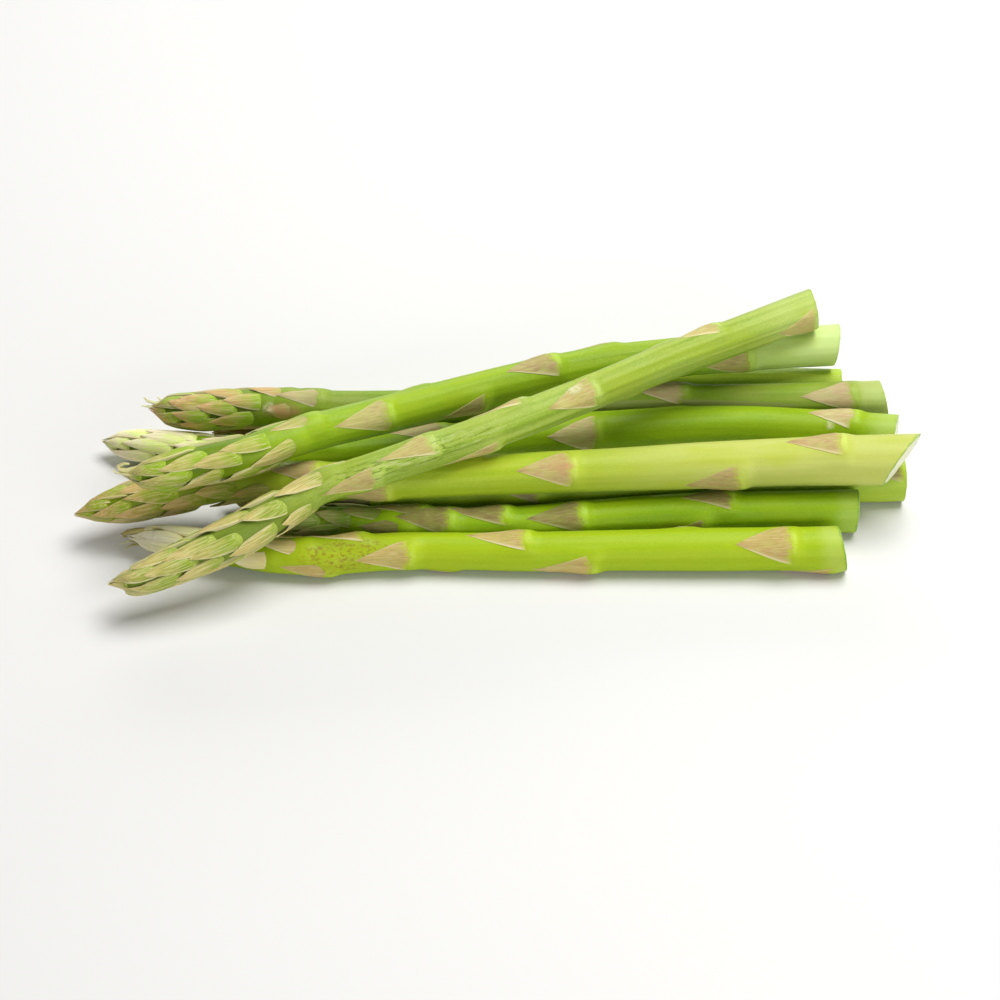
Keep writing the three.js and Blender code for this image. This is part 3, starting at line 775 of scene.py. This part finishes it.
def add_stem(skin, spear, line):
    angles = np.arange(STEM_SIDES) * 360.0 / STEM_SIDES
    rows = int((line.length - UNCOUNTED) / STEM_STEP)
    even = np.linspace(STEM_RINGS[0], line.length - STEM_RINGS[1], rows)
    cut_distances, cut_shares = zip(*CUT_RINGS)
    distance = np.concatenate([cut_distances, even])[:, None]
    share = np.concatenate([cut_shares, np.ones(rows)])[:, None]
    angle = np.broadcast_to(angles[None], (len(distance), STEM_SIDES))
    out = stem_radius(spear, line, distance, angle) * share
    height, waves_round, waves_out = CUT_WAVE
    wave = height * np.cos(angle * waves_round + share * waves_out)
    along = distance + cut_slant(spear, distance, angle, out) + np.where(distance == 0.0, wave, 0.0)
    points = line.place(along, angle, out * closing(line, distance))
    cut = distance < CUT_DEPTH
    values = dict(
        cut=cut,
        margin=share * cut,
        ridge=ridge(spear, distance, angle),
        # in_head: where the painted shade between the head's scales sets in.
        in_head=smooth(distance, *(spear["head"] + into for into in HEAD_SHADE)),
        **marks(spear, distance, angle, ("rust", "torn", "pale", "blush", "grey")),
    )
    skin.tube(points, grain_at(spear, distance, angle, out), values)


# ---- scales ----
# head: 0 for a stem's scale and 1 for a bud's cover, which stands off the core.
Scale = namedtuple("Scale", "foot angle length reach lean head seed")


def head_places(spear, line):
    """Foot and angle of the head's scales, then any own length and lean."""
    places = []
    for foot, angle, *own in spear["head_scales"]:
        far_side = FAR_SIDE - FAR_SPREAD * float(around(angle, FAR_SIDE - 180.0))
        places += [(foot, angle, *own), (foot + OPPOSITE_STEP, far_side)]
    for k in range(TIP_SCALES):
        foot = line.length - mix(*TIP_START, k / (TIP_SCALES - 1))
        places.append((foot, spear["turn"] + k * GOLDEN_ANGLE))
    for k, (foot, angle, *_) in enumerate(spear["head_scales"]):
        start = foot + BETWEEN_STEP
        gap = BETWEEN_ANGLES[k % 2] + BETWEEN_SPREAD * float(around(angle, FAR_SIDE - 180.0))
        underneath = line.place(start, 180.0, line.radius(start))[2]
        roomy = k % 2 == 0 or underneath > BETWEEN_CLEARANCE
        if roomy and start < line.length - TIP_START[1]:
            places.append((start, gap))
    return places


def all_scales(spear, line):
    scales = []
    usual = (STEM_SCALE_REACH, STEM_SCALE_LENGTH)
    for k, (foot, angle, *own) in enumerate(spear["scales"]):
        reach, length = (*own, *usual[len(own) :])
        scales.append(Scale(foot, angle, length, reach, 0.0, 0.0, k + FIRST_SEEDS[0]))
    for k, (foot, angle, *own) in enumerate(head_places(spear, line)):
        into_head = foot - spear["head"]
        share = min(max(into_head / (line.length - spear["head"]), 0.0), 1.0)
        drawn = HEAD_SCALE_LENGTH * mix(*HEAD_LENGTHS, draw(k + spear["head"]))
        length = min(own[0] if own else drawn, line.length - foot - TIP_CLEARANCE)
        lean = own[1] if len(own) > 1 else 0.0
        half_width = mix(*HEAD_SCALE_HALF_WIDTH, share)
        widest = line.radius(foot + WIDEST_SHARE * length)
        reach = min(math.degrees(half_width / widest), STEEPEST_REACH)
        head = min(max(into_head / HEAD_SCALE_EASING, 0.0), 1.0)
        scales.append(Scale(foot, angle, length, reach, lean, head, k + FIRST_SEEDS[1]))
    return scales


def scale_outline(scale, u, v, chance):
    """Distance along the spear and angle round it of a scale's points."""
    on_stem = 1.0 - scale.head
    pointed = 1.0 - u ** mix(*TAPER, chance[0])
    foot_width, growth, tip_power, divisor = LEAF_WIDTH
    leafy = (foot_width + growth * u) * (1.0 - u) ** tip_power / divisor
    width = np.maximum(mix(pointed, leafy, scale.head), NARROWEST)
    bow = mix(mix(*STEM_BOW, chance[1]), mix(*HEAD_BOW, chance[1]), scale.head)
    skew = mix(-SKEW, SKEW, chance[5]) * on_stem
    height, waves, phases = FOOT_WAVE
    wavy = height * np.sin(v * waves + phases * chance[0]) * on_stem
    foot_line = (bow * v * v + skew * v + wavy) * (1.0 - u)
    sway = mix(-TIP_SWAY, TIP_SWAY, chance[2]) * u * u * on_stem + scale.lean * u
    distance = scale.foot + u * scale.length + foot_line
    return np.broadcast_arrays(distance, scale.angle + v * scale.reach * width + sway)


def scale_faces(spear, line, scale, distance, angle, u, v, chance):
    """How far out a scale's outer face and its underside are."""
    tip_dip = ramp(u, TIP_DIP)
    # A stem's scale lies on the stem's own skin.
    rise = ramp(u, STEM_RISE) * (1.0 - STEM_CROWN * v * v)
    on_stem = stem_radius(spear, line, distance, angle) + rise - tip_dip
    # A head's scale is blunt at its foot and lies over its neighbours at its tip.
    from_tip, over = SETTLING
    settled = min(max((line.length - scale.foot - from_tip) / over, LEAST_SETTLED), 1.0)
    lift = ramp(u, HEAD_FOOT) + ramp(u, HEAD_RISE) * settled
    height, middle, spread = PLUMP
    lift = lift + height * settled * np.exp(-(((u - middle) / spread) ** 2)) * (1.0 - v * v)
    height, waves, phases = VEINS
    veins = height * np.cos(v * waves + phases * chance[4])
    lift = lift + veins * ramp(u, VEINS_START) * ramp(u, VEINS_END)
    lift = lift - HEAD_CROWN * v * v - tip_dip
    lift = lift - ramp(u, TIP_SINK) * (1.0 - settled)
    outer = mix(on_stem, line.radius(distance) + lift, scale.head)
    rooted = core_radius(spear, line, distance) - HEAD_DEPTH
    free = outer - mix(*FREE_THICKNESS, v * v)
    under_head = mix(np.minimum(rooted, free), free, ramp(u, COMING_FREE))
    return outer, mix(outer - STEM_DEPTH, under_head, scale.head)


def add_scale(skin, spear, line, scale):
    chance = [draw(scale.seed * 5.3 + spear["seed"] * 17.1 + k) for k in range(6)]
    even = np.linspace(FIRST_EVEN_ROW, 1.0, SCALE_ROWS - len(FOOT_ROWS))
    u = np.concatenate([FOOT_ROWS, even])[:, None]
    across = np.sin(np.linspace(-1.0, 1.0, SCALE_COLUMNS) * math.pi / 2)
    v = np.concatenate([across, across[::-1]])[None]
    upper = np.repeat([1.0, 0.0], SCALE_COLUMNS)[None]
    distance, angle = scale_outline(scale, u, v, chance)
    outer, under = scale_faces(spear, line, scale, distance, angle, u, v, chance)
    out = np.maximum(mix(under, outer, upper), LEAST_OUT)
    out = out * mix(1.0, closing(line, distance), scale.head)
    points = line.place(distance + cut_slant(spear, distance, angle, out), angle, out)
    side_edge = np.abs(v) ** EDGE_POWER * np.where(v < 0.0, *EDGE_SHARES)
    edge = np.maximum(side_edge, ramp(u, EDGE_TIP))
    values = dict(
        scale=1.0,
        climb=u,
        margin=edge * upper + (1.0 - upper),
        tint=chance[3],
        in_head=scale.head,
        **marks(spear, distance, angle, ("pale", "blush")),
    )
    skin.tube(points, grain_at(spear, distance, angle, out), values)


# ---- loose bits at the tips ----
def add_wisp(skin, spear, line, places, thickness, pale):
    """A thin curl through places given as distance, angle and distance out."""
    knots = line.place(*np.array(places, float).T)
    shares = np.linspace(0.0, len(places) - 1.0, WISP_ROWS)
    ends = np.arange(len(places))
    middle = np.stack([np.interp(shares, ends, knots[:, k]) for k in range(3)], -1)
    forward = np.gradient(middle, axis=0)
    forward /= np.linalg.norm(forward, axis=1, keepdims=True)
    side = np.cross(forward, WISP_TILT)
    side /= np.linalg.norm(side, axis=1, keepdims=True)
    across = np.cross(forward, side) * WISP_FLATNESS
    turn = (np.arange(WISP_SIDES) * 2.0 * math.pi / WISP_SIDES)[None, :, None]
    lost, power = WISP_TAPER
    out = thickness * (1.0 - lost * np.linspace(0.0, 1.0, WISP_ROWS) ** power)[:, None, None]
    ring = side[:, None] * np.cos(turn) + across[:, None] * np.sin(turn)
    points = middle[:, None] + ring * out
    values = dict(scale=1.0, climb=WISP_CLIMB, in_head=1.0, pale=pale)
    skin.tube(points, points + GRAIN_SHIFT * spear["seed"], values)


# ---- materials ----
def faded(colour, factor):
    return tuple(c * factor for c in colour)


class Nodes:
    """Adds nodes to a material, giving inputs as values or as other nodes' outputs."""

    def __init__(self, name):
        self.material = bpy.data.materials.new(name)
        self.material.use_nodes = True
        self.tree = self.material.node_tree
        self.tree.nodes.clear()

    def add(self, kind, inputs, **settings):
        node = self.tree.nodes.new("ShaderNode" + kind)
        for name, value in settings.items():
            setattr(node, name, value)
        for key, value in inputs.items():
            socket = node.inputs[key]
            if isinstance(value, bpy.types.NodeSocket):
                self.tree.links.new(value, socket)
            else:
                socket.default_value = value
        return node

    def value(self, name, output="Fac"):
        """What the mesh carries under a name."""
        return self.add("Attribute", {}, attribute_name=name).outputs[output]

    def scaled(self, value, factor, added=0.0):
        inputs = {0: value, 1: factor, 2: added}
        return self.add("Math", inputs, operation="MULTIPLY_ADD").outputs[0]

    def texture(self, kind, output, vector, scale, **inputs):
        stretched = self.add("VectorMath", {0: vector, 1: scale}, operation="MULTIPLY").outputs[0]
        inputs = {"Vector": stretched, "Scale": 1.0, **inputs}
        return self.add("Tex" + kind, inputs).outputs[output]

    def noise(self, vector, name):
        scale, detail, roughness = NOISES[name]
        return self.texture("Noise", "Fac", vector, scale, Detail=detail, Roughness=roughness)

    def between(self, value, low, high, to_low=0.0, to_high=1.0):
        """A smooth change from to_low to to_high as value goes from low to high."""
        inputs = {
            "Value": value, "From Min": low, "From Max": high, "To Min": to_low, "To Max": to_high,
        }
        return self.add("MapRange", inputs, interpolation_type="SMOOTHSTEP").outputs[0]

    def blend(self, factor, first, second):
        inputs = {0: factor}
        for key, value in ((6, first), (7, second)):
            inputs[key] = (*value, 1.0) if isinstance(value, tuple) else value
        return self.add("Mix", inputs, data_type="RGBA").outputs[2]

    def layer(self, name, value, base, colour, strength=1.0):
        """A layer of colour over a base, where a value is in the layer's span."""
        low, high, share = LAYERS[name]
        covered = self.between(value, low, high, 0.0, self.scaled(strength, share))
        return self.blend(covered, base, colour)

    def finish(self, inputs):
        shader = self.add("BsdfPrincipled", inputs)
        self.add("OutputMaterial", {"Surface": shader.outputs[0]})
        return self.material


def spear_material(name, look, seed):
    n = Nodes(name)
    grain = n.value("grain", "Vector")
    along = n.scaled(n.add("SeparateXYZ", {0: grain}).outputs[0], 1.0, -GRAIN_SHIFT * seed)
    scale, climb, margin, tint = map(n.value, ("scale", "climb", "margin", "tint"))
    ridge_value, cut, in_head = map(n.value, ("ridge", "cut", "in_head"))
    speckle, mottle, streaks = (n.noise(grain, kind) for kind in ("speckle", "mottle", "streaks"))

    # The stem: lengthwise stripes and streaks, slow drifts of yellow, and small pale flecks.
    dark, light, yellow = look["skin"]
    bands = look["bands"]
    factor, addition, limit = PALER
    pale = tuple(min(c * factor + addition, limit) for c in light)
    # Painted shade: the dark green of the crevices between a head's scales, also used for the dark
    # of torn streaks.
    crevice_shade_and_tear_dark = faded(dark, DARKER["core"])
    stripes = n.between(n.noise(grain, "broad"), *STRIPES, 0.5 - 0.5 * bands, 0.5 + 0.5 * bands)
    skin = n.blend(stripes, dark, light)
    skin = n.layer("streaks", streaks, skin, light, bands)
    skin = n.layer("light_specks", speckle, skin, light)
    skin = n.layer("dark_specks", speckle, skin, dark)
    butt_length, butt_share, butt_colour = look["butt"]
    butt = n.between(along, butt_length, butt_length * BUTT_FADE, 0.0, butt_share)
    skin = n.blend(butt, skin, butt_colour)
    flecks = n.texture("Voronoi", "Distance", grain, FLECK_CELLS)
    skin = n.layer("yellow", n.noise(grain, "drift"), skin, yellow)
    skin = n.layer("flecks", flecks, skin, pale)
    skin = n.layer("ridge", ridge_value, skin, light)
    skin = n.layer("crest", n.scaled(speckle, CREST_SPECKS, ridge_value), skin, pale)
    # Painted shade: the core darkens deep into the head, standing for the shade in the crevices
    # between its scales.
    skin = n.blend(n.scaled(in_head, CORE_SHADE), skin, crevice_shade_and_tear_dark)
    # A darker band along the skin's cut edge: partly the rind's own green, partly painted shade of
    # the jagged edge.
    from_cut = n.scaled(speckle, CUT_RIM_SPECKS, along)
    skin = n.layer("cut_rim", from_cut, skin, CUT_RIM, look.get("cut_rim", CUT_RIM_SHARE))

    # A scale: dry tan over green, dusky at its foot and tip, with fine lengthwise veins.
    tan, mauve, green = look["scale"]
    dusk = n.scaled(tint, TINT_DUSK, look["dusk"] - USUAL_DUSK)
    body = n.layer("dusky", n.scaled(dusk, DUSK_SHARE, mottle), tan, mauve)
    body = n.layer("greenish", mottle, body, green)
    body = n.layer("dusky_foot", climb, body, mauve)
    body = n.layer("dusky_tip", climb, body, mauve)
    bud_green, bud_tip = look["head"]
    reddening = n.scaled(n.scaled(tint, TINT_RED, mottle), RED_SHARE, climb)
    bud = n.layer("bud_tip", reddening, bud_green, bud_tip)
    budding = n.between(along, *look.get("budding", BUDDING))
    body = n.blend(n.scaled(in_head, budding), body, bud)
    veins = n.noise(grain, "veins")
    body = n.layer("pale_veins", veins, body, look["rim"], n.scaled(in_head, *PALE_VEINS))
    scale_shade = faded(green, DARKER["scale_veins"])
    bud_shade = faded(bud_green, DARKER["bud_veins"])
    shade = n.blend(in_head, scale_shade, bud_shade)
    body = n.layer("dark_veins", veins, body, shade, n.scaled(in_head, *DARK_VEINS))
    body = n.layer("edge", margin, body, look["rim"])
    # Its foot runs over into the stem's green without a sharp line.
    from_foot = n.scaled(n.noise(grain, "ragged"), FOOT_RAGGED, climb)
    foot_green = n.blend(n.scaled(in_head, FOOT_GREEN), light, bud_green)
    body = n.layer("above_foot", from_foot, foot_green, body)
    colour = n.blend(scale, skin, body)

    # Marks: grey bloom, rusty speckles, torn streaks, pale scratches and blushes.
    rust, torn, scratched, blushing = map(n.value, ("rust", "torn", "pale", "blush"))
    rusty, tears = n.noise(grain, "rusty"), n.noise(grain, "tears")
    colour = n.layer("grey", n.value("grey"), colour, GREY_BLOOM)
    colour = n.blend(n.scaled(rust, RUST_SHARE), colour, RUST_YELLOW)
    colour = n.layer("rust_spots", rusty, colour, RUST_BROWN, rust)
    colour = n.layer("torn_pale", tears, colour, TORN_PALE, torn)
    colour = n.layer("torn_dark", tears, colour, crevice_shade_and_tear_dark, torn)
    colour = n.layer("scratch", rusty, colour, TORN_PALE, scratched)
    colour = n.blend(n.scaled(blushing, n.between(mottle, *BLUSH_SPAN)), colour, BLUSH)

    # The cut end: pale wet flesh with bundles of fibre and a green rim.
    fibres = n.texture("Voronoi", "Distance", grain, FIBRE_CELLS)
    flesh = n.layer("fibres", fibres, CUT_PALE, faded(CUT_PALE, DARKER["fibres"]))
    flesh = n.layer("flesh_rim", margin, flesh, CUT_RIM)
    colour = n.blend(cut, colour, flesh)

    rough = n.scaled(scale, SCALE_ROUGHNESS, n.between(streaks, *SKIN_ROUGHNESS))
    grit = n.scaled(n.noise(grain, "grit"), n.scaled(scale, *GRIT_HEIGHTS))
    height = n.scaled(n.noise(grain, "fine"), FINE_HEIGHT, grit)
    bump = n.add("Bump", {"Height": height, **BUMP}).outputs[0]
    return n.finish({"Base Color": colour, "Roughness": rough, "Normal": bump, **SPEAR_SHADER})


# ---- the pieces ----
for spear in SPEARS:
    name = spear["name"]
    line = MiddleLine(spear["route"])
    skin = Skin()
    add_stem(skin, spear, line)
    for scale in all_scales(spear, line):
        add_scale(skin, spear, line, scale)
    for wisp in spear.get("wisps", []):
        add_wisp(skin, spear, line, *wisp)
    piece = skin.build(name + "_fine")
    piece.data.materials.append(spear_material(name + "_skin", LOOKS[name], spear["seed"]))
    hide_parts(name)
    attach(piece, "root")

# ---- floor, light and camera ----
scene = bpy.context.scene
bpy.ops.mesh.primitive_plane_add(size=FLOOR_SIZE, location=(0.0, 0.0, -FLOOR_DROP))
floor = bpy.context.object
floor.name = "floor"
floor.data.materials.append(Nodes("pale_floor").finish(FLOOR_SHADER))

for name, place, (width, height), power in LIGHTS:
    lamp = bpy.data.lights.new(name, "AREA")
    lamp.shape = "RECTANGLE"
    lamp.size = width
    lamp.size_y = height
    lamp.energy = power
    light = bpy.data.objects.new(name, lamp)
    light.location = place
    light.rotation_euler = (-Vector(place)).to_track_quat("-Z", "Y").to_euler()
    scene.collection.objects.link(light)

world = bpy.data.worlds.new("studio")
world.use_nodes = True
background = world.node_tree.nodes["Background"]
background.inputs["Color"].default_value = (1.0, 1.0, 1.0, 1.0)
background.inputs["Strength"].default_value = WORLD_STRENGTH
scene.world = world
scene.view_settings.view_transform = "Standard"

camera_data = bpy.data.cameras.new("camera")
camera_data.sensor_width = SENSOR_MM
camera_data.lens = FOCAL_PIXELS / IMAGE_PIXELS * SENSOR_MM
camera_data.clip_start, camera_data.clip_end = CLIP_SPAN
camera = bpy.data.objects.new("camera", camera_data)
camera.location = (
    -PILE_MIDDLE[0] * MM,
    -PILE_MIDDLE[1] * MM - VIEW_DISTANCE * math.cos(VIEW_ELEVATION),
    VIEW_DISTANCE * math.sin(VIEW_ELEVATION),
)
camera.rotation_euler = (math.pi / 2 - VIEW_ELEVATION, 0.0, 0.0)
scene.collection.objects.link(camera)
scene.camera = camera

bpy.context.view_layer.update()
